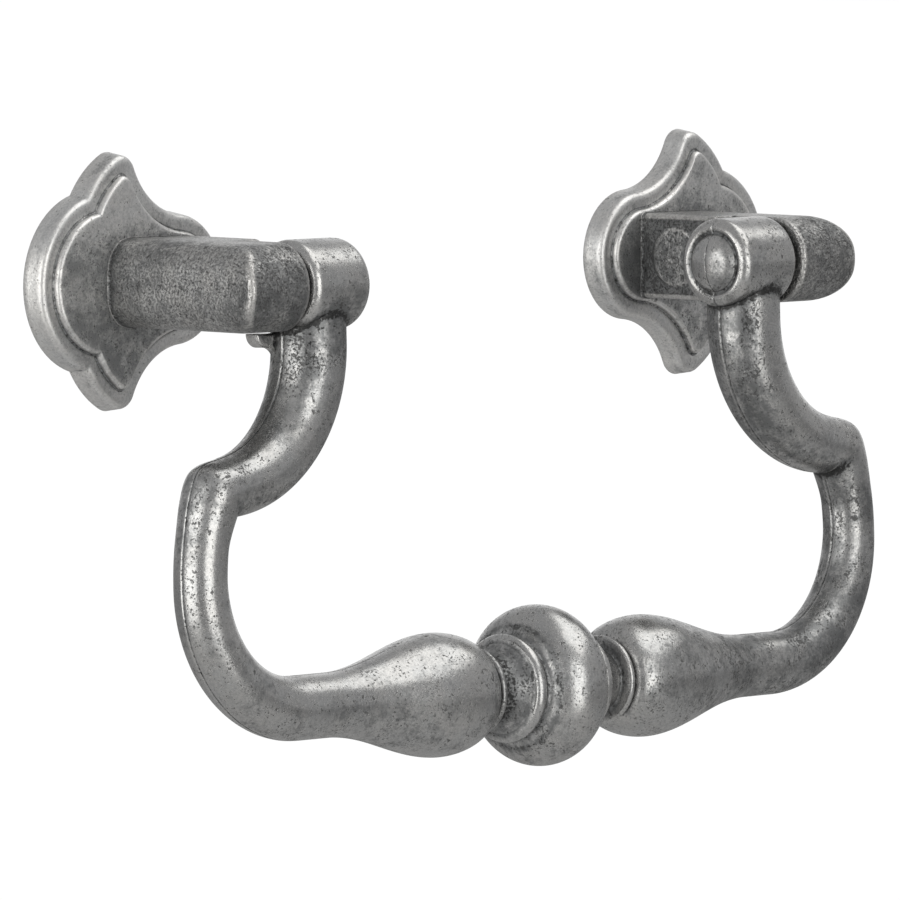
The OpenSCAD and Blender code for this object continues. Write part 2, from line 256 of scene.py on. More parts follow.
def grip_profile():
    """Turned outline of half of the grip, as distance from the middle and radius: knob, fillet, bead,
    hollow neck, thin collar, gap and the pear-shaped swelling that falls to the rod's radius. Knob,
    bead and collar are arcs of circles or ellipses. The neck's radius rises towards the bead with
    the power 2.2 of the share left. The pear rises along a quarter of an ellipse and falls along half
    a cosine wave of the share of its length to the power 0.9."""
    knob_a = np.radians(np.linspace(0, 62, 28))
    knob = np.stack([KNOB_R * np.sin(knob_a), KNOB_CENTRE_R + KNOB_R * np.cos(knob_a)], axis=-1)
    fillet = np.array([[4.28, 6.55], [4.42, 6.33], [4.57, 6.17], [4.72, 6.06], [4.85, 6.0]])
    bead_a = np.radians(np.linspace(42, 162, 18))
    bead = np.stack([5.66 - 0.9 * np.cos(bead_a), 5.38 + 0.87 * np.sin(bead_a)], axis=-1)
    t = np.linspace(0, 1, 28)
    neck = np.stack([blend(6.6, 10.35, t), NECK_R + 1.6 * (1 - t) ** 2.2], axis=-1)
    fine_a = np.radians(np.linspace(-80, 80, 9))
    root = np.array([[10.45, 3.74], [10.55, 3.95], [10.62, 4.3]])
    collar = np.stack([11.02 + 0.4 * np.sin(fine_a), 4.75 + 0.35 * np.cos(fine_a)], axis=-1)
    gap = np.array([[11.43, 4.5], [11.5, 4.28], [11.62, 4.2], [11.76, 4.24], [11.85, 4.45]])
    rise_a = np.radians(np.linspace(5, 90, 26))
    rise = np.stack([PEAR_X - 6.15 * np.cos(rise_a), blend(PEAR_LOW_R, PEAR_R, np.sin(rise_a))], axis=-1)
    t = np.linspace(0, 1, 42)[1:]
    fall = np.stack([blend(PEAR_X, PEAR_TO, t),
                     blend(GRIP_ROOT_R, PEAR_R, (1 + np.cos(np.pi * t ** 0.9)) / 2)], axis=-1)
    return np.concatenate([knob, fillet, bead, neck, root, collar, gap, rise, fall])


def half_rod(cols):
    """Right half of the rod and grip: a round section carried from the barrel down the swan neck, out
    to the shoulder, round the side and the foot and in along the turned grip to the middle.
    A point of the section lies at u = radius times the cosine in the bail's plane and at radius
    times the sine across it."""
    ring = ring_angles(cols)[None, :]
    cos, sin = np.cos(ring), np.sin(ring)
    parts = []
    # Straight top of the leg
    drop = np.linspace(2.6, LEG_STRAIGHT, 26)[:-1, None]
    parts.append(np.stack(np.broadcast_arrays(BARREL_MID + LEG_R * cos, LEG_R * sin, -drop), axis=-1))
    # Swan neck: an arc about a centre outboard of the leg, the section narrowing with the square
    t = np.linspace(0, 1, 56)[:, None]
    a = NECK_TURN * t
    r = blend(LEG_R, SHOULDER_R, t * t)
    reach = NECK_BEND_R - r * cos
    x = BARREL_MID + NECK_BEND_R - reach * np.cos(a)
    z = -LEG_STRAIGHT - reach * np.sin(a)
    parts.append(np.stack([x, r * sin, z], axis=-1))
    # Straight run to the shoulder, where each line of the skin meets its own circle of the side
    ahead = np.array([math.sin(NECK_TURN), -math.cos(NECK_TURN)])
    u = SHOULDER_R * cos[0]
    start = np.stack([x[-1], z[-1]], axis=-1)
    bow_centre = np.array([SIDE_X - SIDE_BOW_R, -SIDE_DROP])
    m = start - bow_centre
    along = m @ ahead
    length = -along + np.sqrt(along ** 2 - (m * m).sum(axis=1) + (SIDE_BOW_R + u) ** 2)
    corner = start + length[:, None] * ahead
    t = np.linspace(0, 1, 16)[1:, None] ** 0.7
    x = start[:, 0] + t * length * ahead[0]
    z = start[:, 1] + t * length * ahead[1]
    to_corner = -(1 - t) * length
    neck_part = np.stack([x, SHOULDER_R * sin + 0 * t, z], axis=-1)
    # Side: circles about the bow's centre, the section narrowing to the side's radius
    from_a = np.arctan2(corner[:, 1] - bow_centre[1], corner[:, 0] - bow_centre[0])
    t = np.linspace(0, 1, 44)[1:, None] ** 1.3
    a = from_a * (1 - t)
    r = blend(SHOULDER_R, SIDE_R, smooth(0, 0.6, t))
    out = SIDE_BOW_R + r * cos
    x = bow_centre[0] + out * np.cos(a)
    z = bow_centre[1] + out * np.sin(a)
    past_corner = (from_a - a) * out
    side_part = np.stack([x, r * sin, z], axis=-1)
    # The corner is softened: the kink |s| becomes the root of s squared plus w squared, with a wide w
    # on the outside and a narrow one in the notch
    w = blend(0.25, 1.5, (1 + cos[0]) / 2)
    turn = np.stack([np.sin(from_a), -np.cos(from_a)], axis=-1) - ahead
    for part, s in ((neck_part, to_corner), (side_part, past_corner)):
        shift = 0.5 * (np.sqrt(s * s + w * w) - np.abs(s)) * (1 - smooth(2.5, 6, np.abs(s)))
        part[..., 0] += shift * turn[:, 0]
        part[..., 2] += shift * turn[:, 1]
    parts += [neck_part, side_part]
    # Foot: a quarter circle that runs into the grip's axis
    foot_r = GRIP_DROP - SIDE_DROP
    t = np.linspace(0, 1, 54)[1:, None]
    a = -np.pi / 2 * t
    r = blend(SIDE_R, GRIP_ROOT_R, t)
    out = foot_r + r * cos
    x = SIDE_X - foot_r + out * np.cos(a)
    z = -SIDE_DROP + out * np.sin(a)
    parts.append(np.stack([x, r * sin, z], axis=-1))
    # Turned grip on the straight axis
    profile = grip_profile()[::-1]
    run = np.linspace(SIDE_X - foot_r, PEAR_TO, 12)[1:-1]
    profile = np.concatenate([np.stack([run, np.full(len(run), GRIP_ROOT_R)], axis=-1), profile])
    x = profile[:, :1] + 0 * ring
    parts.append(np.stack([x, profile[:, 1:] * sin, -GRIP_DROP - profile[:, 1:] * cos], axis=-1))
    rod = np.concatenate(parts)
    # Parting line on the bail's mid-plane, gone on the grip
    middle = rod.mean(axis=1, keepdims=True)
    across = rod - middle
    across /= np.linalg.norm(across, axis=2, keepdims=True)
    before_grip = len(rod) - len(profile)
    fade = np.concatenate([np.ones(before_grip), 1 - smooth(0, 0.35, np.linspace(0, 1, len(profile)))])
    rod += across * seam_depth(rod[..., 1], fade[:, None])[..., None]
    return rod


def rod_shell():
    """Both halves of the rod in one skin, from barrel to barrel."""
    right = half_rod(112)
    left = (right * [-1, 1, 1])[-2::-1]
    return capped(in_place(np.concatenate([right, left])))


def barrel_profile():
    """Outline of the right barrel, as X and radius: bore, outboard face, straight wall, rounded rim,
    and the inboard face with a bell-shaped valley round a dome. The dome's height is one less the
    square of the radius over the dome's own, to the power 0.85."""
    bore = np.array([[-5.8, 0.3], [-5.9, BORE_R], [-3, BORE_R], [-0.2, BORE_R], [0, BORE_R + 0.2],
                     [0, 3.0], [0, 3.7]]) + [BARREL_START, 0]
    edge_a = np.radians(np.linspace(0, 90, 10))
    edge = np.stack([BARREL_START - BARREL_EDGE + BARREL_EDGE * np.cos(edge_a),
                     BARREL_R - BARREL_EDGE + BARREL_EDGE * np.sin(edge_a)], axis=-1)
    wall = np.stack([np.linspace(BARREL_START - 1.5, BARREL_END + 0.3, 24), np.full(24, BARREL_R)], axis=-1)
    rim_a = np.radians(np.linspace(0, 80, 16))
    rim = np.stack([BARREL_END - BARREL_ROUND * np.sin(rim_a),
                    BARREL_R - BARREL_ROUND + BARREL_ROUND * np.cos(rim_a)], axis=-1)
    face = BARREL_END - BARREL_ROUND
    r = np.concatenate([np.linspace(3.72, 2.7, 18), np.linspace(2.6, 0.05, 18)])
    valley = 0.27 * np.exp(-((r - 3.5) / 0.6) ** 2)
    bulge = DOME_H * np.clip(1 - (r / DOME_R) ** 2, 0, 1) ** 0.85
    end = np.stack([face + valley - bulge, r], axis=-1)
    return np.concatenate([bore, edge, wall, rim, end])


def barrel_shell():
    """Right barrel: its outline turned about the pivot axis, with the parting line cut along the
    outline's own normal at y = 0."""
    profile = barrel_profile()
    ring = ring_angles(112)[None, :]
    slope = np.gradient(profile, axis=0)
    slope /= np.maximum(np.linalg.norm(slope, axis=1, keepdims=True), 1e-9)
    normal = np.stack([slope[:, 1], -slope[:, 0]], axis=-1)
    y = profile[:, 1:] * np.sin(ring)
    fade = smooth(0, 1, np.linspace(-0.6, 1.9, len(profile)))
    fade *= 0.8 - 0.5 * smooth(3.8, 3.3, profile[:, 1])
    depth = seam_depth(y, fade[:, None])
    x = profile[:, :1] + depth * normal[:, :1]
    r = profile[:, 1:] + depth * normal[:, 1:]
    return capped(in_place(np.stack([x, r * np.sin(ring), r * np.cos(ring)], axis=-1)))


def nib_shell():
    """Right stop nib: a tab under the post with a round lower corner, and a fillet that is turned about
    the leg's axis. Its outline is drawn for each of a row of distances y behind that axis: a point of
    the fillet at radius q from the axis lies at the root of q squared less y squared. It ends 0.08
    under the leg's skin. At both faces the outline is drawn in parallel to itself, to round their
    edges."""
    a = np.radians(np.linspace(0, 90, 6))
    rise = NIB_EDGE * (1 - np.sin(a))
    inset = np.concatenate([rise, rise[::-1]])[:, None]
    front = NIB_EDGE * (1 - np.cos(a))
    y = NIB_BACK + np.concatenate([front, NIB_T - front[::-1]])[:, None]
    top = -NIB_TOP - inset
    corner_r = NIB_H - inset
    from_a = -np.arcsin(inset / corner_r)
    a = blend(from_a, -np.pi / 2, np.linspace(0, 1, 14))
    corner_x = NIB_END - BARREL_MID - NIB_H + corner_r * np.cos(a)
    corner_z = -NIB_TOP + corner_r * np.sin(a)
    a = np.radians(np.linspace(90, 180, 12))
    q = LEG_R - 0.08 + NIB_FILLET_R + (NIB_FILLET_R + inset) * np.cos(a)
    fillet_x = np.sqrt(q * q - y * y)
    fillet_z = -NIB_TOP - NIB_H - NIB_FILLET_R + (NIB_FILLET_R + inset) * np.sin(a)
    inner = np.sqrt(LEG_R ** 2 - y * y) - 1.2
    t = np.linspace(0, 1, 18)[:-1]
    top_x = blend(inner, corner_x[:, :1], t)
    t = np.linspace(0, 1, 9)[1:-1]
    under_x = blend(corner_x[:, -1:], fillet_x[:, :1], t)
    under_z = blend(corner_z[:, -1:], fillet_z[:, :1], t)
    t = np.linspace(0, 1, 9)[:-1]
    close_z = blend(fillet_z[:, -1:], top, t)
    x = np.concatenate([top_x, corner_x, under_x, fillet_x, inner + 0 * close_z], axis=1)
    z = np.concatenate([top + 0 * top_x, corner_z, under_z, fillet_z, close_z], axis=1)
    grid = np.stack([x + BARREL_MID, y + 0 * x, z], axis=-1)
    heart = np.stack([inner + 1.7 + BARREL_MID, y, 0 * y - NIB_TOP - NIB_H / 2], axis=-1)
    first = [blend(grid[:1], heart[:1], q) for q in (0.95, 0.6, 0.3)]
    last = [blend(grid[-1:], heart[-1:], q) for q in (0.3, 0.6, 0.95)]
    return capped(in_place(np.concatenate([*first, grid, *last])))


# The post

def post_field(p):
    """Signed depth of a point against the post, negative inside: the largest of the D-shaped section,
    the inboard face, the round nose about the pivot axis and the notch for the barrel. Two of them
    meet in an edge of radius k where the larger gives way to a circle. The round mark stands proud of
    the inboard face, its height a little uneven by two sines, and the foot flares at the plate."""
    x, y, z = p[..., 0], p[..., 1], p[..., 2]

    def rounded(a, b, k):
        return np.hypot(np.maximum(a + k, 0), np.maximum(b + k, 0)) - k + np.minimum(np.maximum(a, b) + k, 0)

    side = x - POST_SHIFT
    tall = np.abs(z) - (POST_HALF_H - POST_SIDE_R)
    section = np.hypot(np.maximum(side, 0), np.maximum(tall, 0)) - POST_SIDE_R
    section = section + np.minimum(np.maximum(side, tall), 0)
    nose = np.hypot(np.minimum(y + PIVOT_OUT, 0), z) - POST_HALF_H
    mark_far = np.hypot(y + MARK_OUT, z)
    rough = 0.02 * np.sin(3.1 * y + 1.7 * z) * np.sin(2.3 * z - 1.1 * y)
    mark = (0.2 + rough) * (1 - smooth(MARK_R, MARK_R + 0.35, mark_far))
    foot = 0.22 * np.clip((y + 3.8) / 0.45, 0, 1) ** 2
    root = -x - POST_IN - mark
    tongue = -x - TONGUE_IN
    shelf = -y - NOTCH_OUT
    k = 0.45
    notch = np.minimum(tongue, shelf) + np.maximum(k - np.abs(tongue - shelf), 0) ** 2 / (4 * k)
    body = rounded(section, nose, 0.62)
    body = rounded(body, root, 0.75)
    return rounded(body, notch, 0.45) - foot


def post_skin():
    """Right post: rays go from inside to a grid on a box round the post, and halving finds where each
    leaves the post. Near the root each ray stays at its own distance from the wall, and further out all
    start from one point. The grid's rings run round the sides and close on the front; behind, they
    close on the tapped hole, whose radius is the thread's and half a cosine wave of the turns down
    less the angle round."""
    low = np.array([-POST_IN - 0.5, -PIVOT_OUT - POST_HALF_H - 0.2, -POST_HALF_H - 0.3])
    high = np.array([POST_SIDE_R + 0.6, -PANEL_OUT + 0.05, POST_HALF_H + 0.3])
    heart = np.array([-0.7, -8.0, 0.0])
    spans = (62, 50)
    t = [np.linspace(0, 1, n + 1)[:-1] for n in spans]
    xs = blend(low[0], high[0], t[0])
    zs = blend(low[2], high[2], t[1])
    loop = np.concatenate([
        np.stack([xs, np.full(spans[0], low[2])], axis=-1),
        np.stack([np.full(spans[1], high[0]), zs], axis=-1),
        np.stack([xs[::-1] + (xs[1] - xs[0]), np.full(spans[0], high[2])], axis=-1),
        np.stack([np.full(spans[1], low[0]), zs[::-1] + (zs[1] - zs[0])], axis=-1)])
    flared = high[1] - 0.6
    depth = np.concatenate([np.linspace(high[1], flared, 9)[:-1], np.linspace(flared, low[1], 98)])
    sides = np.stack(np.broadcast_arrays(loop[None, :, 0], depth[:, None], loop[None, :, 1]), axis=-1)
    shrink = np.linspace(1, 0.012, 27)[1:, None, None]
    front = heart[::2] + (loop - heart[::2])[None] * shrink
    front = np.stack([front[..., 0], np.full(front.shape[:2], low[1]), front[..., 1]], axis=-1)
    target = np.concatenate([sides, front])
    start = np.broadcast_to(heart, target.shape).copy()
    start[..., 1] = np.maximum(target[..., 1], heart[1])
    near = np.zeros(target.shape[:2])
    far = np.ones(target.shape[:2]) * 1.02
    for _ in range(HALVINGS):
        half = (near + far) / 2
        inside = post_field(start + (target - start) * half[..., None]) < 0
        near = np.where(inside, half, near)
        far = np.where(inside, far, half)
    skin = start + (target - start) * near[..., None]
    first = skin[0]
    round_a = np.arctan2(first[:, 2], first[:, 0])
    t = np.linspace(1, 0, 5)[1:, None, None]
    mouth = np.stack([TAP_MOUTH_R * np.cos(round_a), first[:, 1], TAP_MOUTH_R * np.sin(round_a)], axis=-1)
    back = mouth + (first - mouth)[None] * t
    down = np.linspace(0, TAP_DEPTH, 76)[:, None]
    helix = 0.5 + 0.5 * np.cos(2 * np.pi * down / THREAD_PITCH - round_a)
    r = THREAD_R + 0.28 * helix + 0.3 * (1 - smooth(0, 0.5, down))
    tap = np.stack([r * np.cos(round_a), mouth[None, :, 1] - down, r * np.sin(round_a)], axis=-1)
    drill_tip = mouth[:, 1] - TAP_DEPTH - 0.9
    tip = np.stack([0.1 * np.cos(round_a), drill_tip, 0.1 * np.sin(round_a)], axis=-1)[None]
    grid = np.concatenate([tip, tap[::-1], back[::-1], skin])
    return grid + [HALF_CENTRES, 0, 0]


# The backplate

def circles_meet(a, ra, b, rb):
    """The point at distance ra from a and rb from b, on the left of the way from a to b. The cosine
    rule gives how far along the way it lies, and the root of what ra squared leaves how far off it."""
    d = np.linalg.norm(b - a)
    t = (ra * ra - rb * rb + d * d) / (2 * d)
    e = (b - a) / d
    return a + t * e + math.sqrt(max(0, ra * ra - t * t)) * np.array([-e[1], e[0]])


def plate_outline(inset):
    """Outline of the backplate, drawn in by the inset: arcs for the outboard lobe, the flank, the
    finial tip, the hollow and the inboard lobe, then the same below. The arcs keep their centres, but
    the tip keeps a radius of 1.1 or more and then lies lower, touching the arcs beside it."""
    lobe_out, r_out = np.array([4.1, 0.0]), 10.3
    lobe_in, r_in = np.array([-8.1, 0.0]), 7.7
    r_tip, r_cove, r_flank = 2.6, 9.0, 12.2
    tip = np.array([1.0, PLATE_TIP - r_tip])
    cusp_z = 9.9
    cusp = np.array([lobe_out[0] + math.sqrt(r_out ** 2 - cusp_z ** 2), cusp_z])
    flank = circles_meet(cusp, r_flank, tip, r_flank - r_tip)
    cove = circles_meet(lobe_in, r_in + r_cove, tip, r_tip + r_cove)
    crossing = circles_meet(flank, r_flank - inset, lobe_out, r_out - inset)
    end_r = max(r_tip - inset, 1.1)
    tip = circles_meet(cove, r_cove + inset + end_r, flank, r_flank - inset - end_r)

    def heading(v):
        return math.degrees(math.atan2(v[1], v[0]))

    upper = np.concatenate([
        arc_points(lobe_out, r_out - inset, 0, heading(crossing - lobe_out), 40),
        arc_points(flank, r_flank - inset, heading(crossing - flank), heading(tip - flank), 26),
        arc_points(tip, end_r, heading(tip - flank), heading(cove - tip), 30),
        arc_points(cove, r_cove + inset, heading(tip - cove), heading(lobe_in - cove), 30),
        arc_points(lobe_in, r_in - inset, heading(cove - lobe_in), 180, 44),
        lobe_in[None] + [[-(r_in - inset), 0]]])
    return np.concatenate([upper, upper[-2:0:-1] * [1, -1]])


def plate_skin():
    """Right backplate: its outline carried through a profile of inset and height. The profile climbs
    the drafted side wall, rounds the front edge, crosses the ledge and a fine groove, rounds up to the
    raised panel, and goes in over the panel and back through the fixing hole."""
    a = np.radians(np.linspace(0, 90, 7))
    back_edge = 0.12
    panel_inset = 2.28
    step_from = PANEL_OUT - PLATE_STEP_R
    wall = [(back_edge * (1 - math.sin(q)), back_edge * (1 - math.cos(q))) for q in a[::2]]
    wall += [(0.10, 0.7), (0.2, 1.4), (0.27, 1.8)]
    wall += [(0.29 + PLATE_RIM_R * (1 - math.cos(q)), 1.94 + PLATE_RIM_R * math.sin(q)) for q in a[1:]]
    wall += [(1.2, 2.7), (1.4, 2.68), (1.6, 2.66), (1.82, 2.64), (1.98, 2.61), (2.08, 2.56), (2.16, 2.55)]
    wall += [(2.22, 2.6), (2.26, 2.71), (panel_inset, step_from)]

    def level(outline, h):
        return np.column_stack([outline, np.full(len(outline), h)])

    rows = [level(plate_outline(d), h) for d, h in wall]
    rim = plate_outline(panel_inset)
    length = np.linalg.norm(rim, axis=1, keepdims=True)
    shoulder = [(PLATE_STEP_R * (1 - math.cos(q)), step_from + PLATE_STEP_R * math.sin(q)) for q in a[1:]]
    rows += [level(rim * (1 - d / length), h) for d, h in shoulder]
    inner = rows[-1][:, :2]
    heading = np.arctan2(inner[:, 1], inner[:, 0])
    circle = np.stack([np.cos(heading), np.sin(heading)], axis=-1)
    t = np.linspace(0, 1, 15)[1:]
    hole_mouth = circle * (HOLE_R + HOLE_EDGE)
    rows += [level(blend(inner, hole_mouth, q), PANEL_OUT) for q in t]
    rows += [level(circle * HOLE_R, h) for h in (PANEL_OUT - HOLE_EDGE, 2.2, 1.1, HOLE_EDGE)]
    back = plate_outline(back_edge)
    t = np.linspace(0, 1, 9)[:-1]
    rows += [level(blend(hole_mouth, back, q), 0.0) for q in t]
    grid = np.stack(rows)
    return np.stack([grid[..., 0] + HALF_CENTRES, -grid[..., 2], grid[..., 1]], axis=-1)


# Where pieces meet: old polish, dirt and painted shade

def on_left(points):
    """1 on the left half and 0 on the right one, which the painted shade and the dirt don't treat alike."""
    return smooth(2, -2, points[:, 0])


def off_plane(points):
    """Distance behind the bail's own plane, which goes through the pivot axis and leans by HANG."""
    return (points[:, 1] + PIVOT_OUT) * math.cos(HANG) - points[:, 2] * math.sin(HANG)


def near_seam(points):
    """1 on the parting line, which lies in the bail's own plane, and 0 away from it and on the grip."""
    grip = (points[:, 2] < 8 - GRIP_DROP) * (np.abs(points[:, 0]) < PEAR_TO)
    return np.exp(-(off_plane(points) / 0.5) ** 2) * (1 - grip)


def bail_stain_and_shade(points):
    """Darkening on the rod. Painted shade: below the barrel, on the wall side of the swan neck and in
    its notch. Dirt: on the grip along the knob's flanks, and a stain on the right of the bail. Darker
    also in a streak down the leg, on the belly of the swan neck, and on the grip in the necks and at
    the collars."""
    x = np.abs(points[:, 0])
    y = off_plane(points)
    z = points[:, 2]
    far = np.hypot(points[:, 1] + PIVOT_OUT, z) - BARREL_R
    leg = (x > BARREL_MID - 9) * (z < 0)
    left = on_left(points)
    # Painted shade under the barrel, where the leg leaves it, and broadly down the left leg below it
    under = 1.2 * np.exp(-np.maximum(far - 0.25, 0) / 0.5)
    under = np.maximum(under, 0.8 * left * np.exp(-far / 7)) * leg
    # Painted shade on the wall side of the swan neck
    behind = 0.6 * smooth(0.4, 1.8, y) * smooth(-24, -16, z) * leg
    # The notch's crease runs from its corner at a slope of 4 in 3
    from_x = x - SIDE_X + 4.5
    from_z = z + 25.5
    along = 0.6 * from_x + 0.8 * from_z
    off = np.abs(0.8 * from_x - 0.6 * from_z)
    # Painted shade in the notch's crease
    notch = (1.2 - 0.3 * left) * np.exp(-np.maximum(off - 0.25, 0) / 0.7)
    notch *= smooth(5, 0.5, along) * smooth(-3, 0, along)
    outer = np.hypot(x - BARREL_MID - NECK_BEND_R, z + LEG_STRAIGHT) - NECK_BEND_R
    belly = (0.6 - 0.2 * left) * smooth(0.6, 2.8, outer) * smooth(-6, -11, z) * smooth(-24.5, -23, z) * leg
    grip = z < 10 - GRIP_DROP
    aside = np.hypot((points[:, 0] - np.sign(points[:, 0]) * BARREL_MID) / LEG_R + 0.7, y / LEG_R + 0.7)
    streak = 0.88 * np.exp(-(aside / 0.42) ** 2 - ((z + 8) / 4.5) ** 2)
    flank = (0.45 + 0.3 * left) * np.exp(-((x - 4.0) / 0.3) ** 2)
    neck = 0.6 * left * smooth(6.2, 7.2, x) * smooth(13.4, 11.4, x)
    hollow = smooth(0, 2.2, x - 9.4 + 2.8 * left) * smooth(10.8, 10.5, x)
    corner = (0.4 + 0.62 * left) * np.maximum(hollow, smooth(11.3, 11.5, x) * smooth(12.1, 11.8, x))
    turned = grip * np.maximum.reduce([flank, neck, corner])
    stained = 0.5 * smooth(12, 30, points[:, 0]) * smooth(-22, -30, z)
    return np.maximum.reduce([under, behind, belly, notch, turned, streak, stained])


def near_leg(points):
    """Painted shade on the barrel and the nib round the leg, and on the barrel's outboard face."""
    far = np.hypot(np.abs(points[:, 0]) - BARREL_MID, points[:, 1] + PIVOT_OUT) - LEG_R
    ring = 1.1 * np.exp(-np.maximum(np.abs(far) - 0.2, 0) / 0.4) * (points[:, 2] < -1)
    left = on_left(points)
    face = (1.2 - 0.6 * left) * smooth(-0.8, -0.35, np.abs(points[:, 0]) - BARREL_START - 0.5 * left)
    return np.maximum(ring, face)


def rubbed_bail(points):
    """Polish on the bail's edges: half, and less on the grip's beads and collars and the parting line."""
    turned = (points[:, 2] < 10 - GRIP_DROP) * (np.abs(points[:, 0]) < 13)
    return 0.5 * (1 - 0.75 * turned) * (1 - 0.8 * near_seam(points))


def rubbed_plate(points):
    """Polish on the plate's edges: more on the raised panel's edge and less on the rim."""
    return np.where(points[:, 1] < -2.75, 0.45, 0.2)


def rubbed_post(points):
    """Polish on the post's edges: full, less on its inboard part and least there beside the barrel."""
    tongue_x = HALF_CENTRES - TONGUE_IN
    beside = smooth(tongue_x + 1.5, tongue_x + 0.5, np.abs(points[:, 0]))
    return 1.2 - beside * np.where(points[:, 1] < -13.5, 0.7, 0.3)


def near_plate(points):
    """Painted shade at the root of the post, on the tongue beside the barrel and on the inboard face,
    there less on the round mark; and darker on the nose."""
    root = 0.75 * np.exp(-np.maximum(-points[:, 1] - PANEL_OUT - 0.3, 0) / 0.5)
    inboard = smooth(0, -0.2, np.abs(points[:, 0]) - (HALF_CENTRES - TONGUE_IN) - 0.05)
    past_shelf = smooth(0.3 - NOTCH_OUT, -0.1 - NOTCH_OUT, points[:, 1])
    notch = inboard * past_shelf * (1.2 - 0.6 * on_left(points))
    nose = 0.5 * smooth(-20.5, -24.5, points[:, 1])
    mark = smooth(MARK_R + 0.6, MARK_R, np.hypot(points[:, 1] + MARK_OUT, points[:, 2]))
    face = (0.72 - 0.35 * mark) * smooth(0.5, 0.1, np.abs(points[:, 0]) - (HALF_CENTRES - POST_IN))
    return np.maximum.reduce([root, nose, notch, face])


def near_post(points):
    """Painted shade on the panel just round the post's outline, and darker from a little above the post
    down.
    """
    x = np.abs(points[:, 0]) - HALF_CENTRES
    past_x = np.maximum(-POST_IN - x, x - POST_SIDE_R - POST_SHIFT)
    out = np.hypot(np.maximum(past_x, 0), np.maximum(np.abs(points[:, 2]) - POST_HALF_H, 0))
    dull = 0.6 * smooth(8.5, 4.0, points[:, 2])
    return np.maximum(0.7 * np.exp(-out / 0.6), dull) * (points[:, 1] < -2.9)


# Shader node groups for the antique finish

def shader_group(name, inputs, outputs):
    """An empty node group with its named inputs, a vector where three numbers are given, and outputs."""
    tree = bpy.data.node_groups.new(name, "ShaderNodeTree")
    for label, value in inputs.items():
        kind = "NodeSocketFloat" if isinstance(value, float) else "NodeSocketVector"
        tree.interface.new_socket(label, in_out="INPUT", socket_type=kind).default_value = value
    for label in outputs:
        tree.interface.new_socket(label, in_out="OUTPUT", socket_type="NodeSocketFloat")
    return tree, tree.nodes.new("NodeGroupInput"), tree.nodes.new("NodeGroupOutput")


def set_input(tree, socket, value):
    """Links a socket to the value, or sets it."""
    if isinstance(value, bpy.types.NodeSocket):
        tree.links.new(value, socket)
    else:
        socket.default_value = value


def math_node(tree, operation, a, b=0.0, c=0.0, clamp=False):
    """One operation on values or sockets."""
    node = tree.nodes.new("ShaderNodeMath")
    node.operation = operation
    node.use_clamp = clamp
    for socket, value in zip(node.inputs, (a, b, c)):
        set_input(tree, socket, value)
    return node.outputs[0]


def noise(tree, vector, scale, detail, roughness, distortion=0.0):
    """Cloudy noise about 0.5."""
    node = tree.nodes.new("ShaderNodeTexNoise")
    for label, value in (("Vector", vector), ("Scale", scale), ("Detail", detail),
                         ("Roughness", roughness), ("Distortion", distortion)):
        set_input(tree, node.inputs[label], value)
    return node.outputs["Fac"]


def ramp(tree, value, low, high, to_low=0.0, to_high=1.0):
    """A smooth step from one value to another as the input goes from low to high."""
    node = tree.nodes.new("ShaderNodeMapRange")
    node.interpolation_type = "SMOOTHSTEP"
    for label, given in (("Value", value), ("From Min", low), ("From Max", high),
                         ("To Min", to_low), ("To Max", to_high)):
        set_input(tree, node.inputs[label], given)
    return node.outputs["Result"]


def bump(tree, height, strength, distance):
    """Normal of a surface raised by the height."""
    node = tree.nodes.new("ShaderNodeBump")
    for label, value in (("Height", height), ("Strength", strength), ("Distance", distance)):
        set_input(tree, node.inputs[label], value)
    return node.outputs[0]


def attribute(tree, name):
    """Value that a piece's mesh carries at its vertices."""
    node = tree.nodes.new("ShaderNodeAttribute")
    node.attribute_name = name
    return node.outputs["Fac"]


def coordinates(tree, kind):
    """Place or direction, of the kind named."""
    return tree.nodes.new("ShaderNodeTexCoord").outputs[kind]


def mix_shader(tree, factor, a, b):
    """Shader a where the factor is 0, and b where it is 1."""
    node = tree.nodes.new("ShaderNodeMixShader")
    for socket, value in zip(node.inputs, (factor, a, b)):
        tree.links.new(value, socket)
    return node.outputs[0]


def empty_tree(owner, output):
    """Node tree of a material or world, emptied but for its output; gives the tree and where the
    surface goes in."""
    owner.use_nodes = True
    owner.node_tree.nodes.clear()
    return owner.node_tree, owner.node_tree.nodes.new(output).inputs[0]


def mix_colour(tree, factor, a, b):
    """Colour a where the factor is 0, and b where it is 1."""
    node = tree.nodes.new("ShaderNodeMix")
    node.data_type = "RGBA"
    set_input(tree, node.inputs[0], factor)
    set_input(tree, node.inputs[6], a)
    set_input(tree, node.inputs[7], b)
    return node.outputs[2]


def make_pits():
    """Casting pits: specks of two sizes where a fine noise falls under a threshold, gathered in
    patches by a broad noise."""
    inputs = {"Vector": (0.0, 0.0, 0.0), "Scale": 2400.0, "Amount": 0.5, "Patches": 0.6}
    tree, given, out = shader_group("cast_pits", inputs, ["Pits"])
    vector, scale, amount, patches = given.outputs[:4]
    small = noise(tree, vector, scale, 3.0, 0.62)
    large = noise(tree, vector, math_node(tree, "MULTIPLY", scale, 0.45), 2.0, 0.5)
    broad = noise(tree, vector, math_node(tree, "MULTIPLY", scale, 0.09), 3.0, 0.6)
    patch = ramp(tree, broad, 0.38, 0.62)
    bare = math_node(tree, "MULTIPLY", patches, math_node(tree, "SUBTRACT", 1.0, patch))
    kept = math_node(tree, "SUBTRACT", 1.0, bare)
    limit = math_node(tree, "MULTIPLY_ADD", math_node(tree, "MULTIPLY", amount, kept), 0.22, 0.30)
    fine_pits = ramp(tree, math_node(tree, "SUBTRACT", small, limit), 0.05, -0.03)
    big_pits = ramp(tree, math_node(tree, "SUBTRACT", large, limit), -0.02, -0.08)
    set_input(tree, out.inputs["Pits"], math_node(tree, "MAXIMUM", fine_pits, big_pits))
    return tree


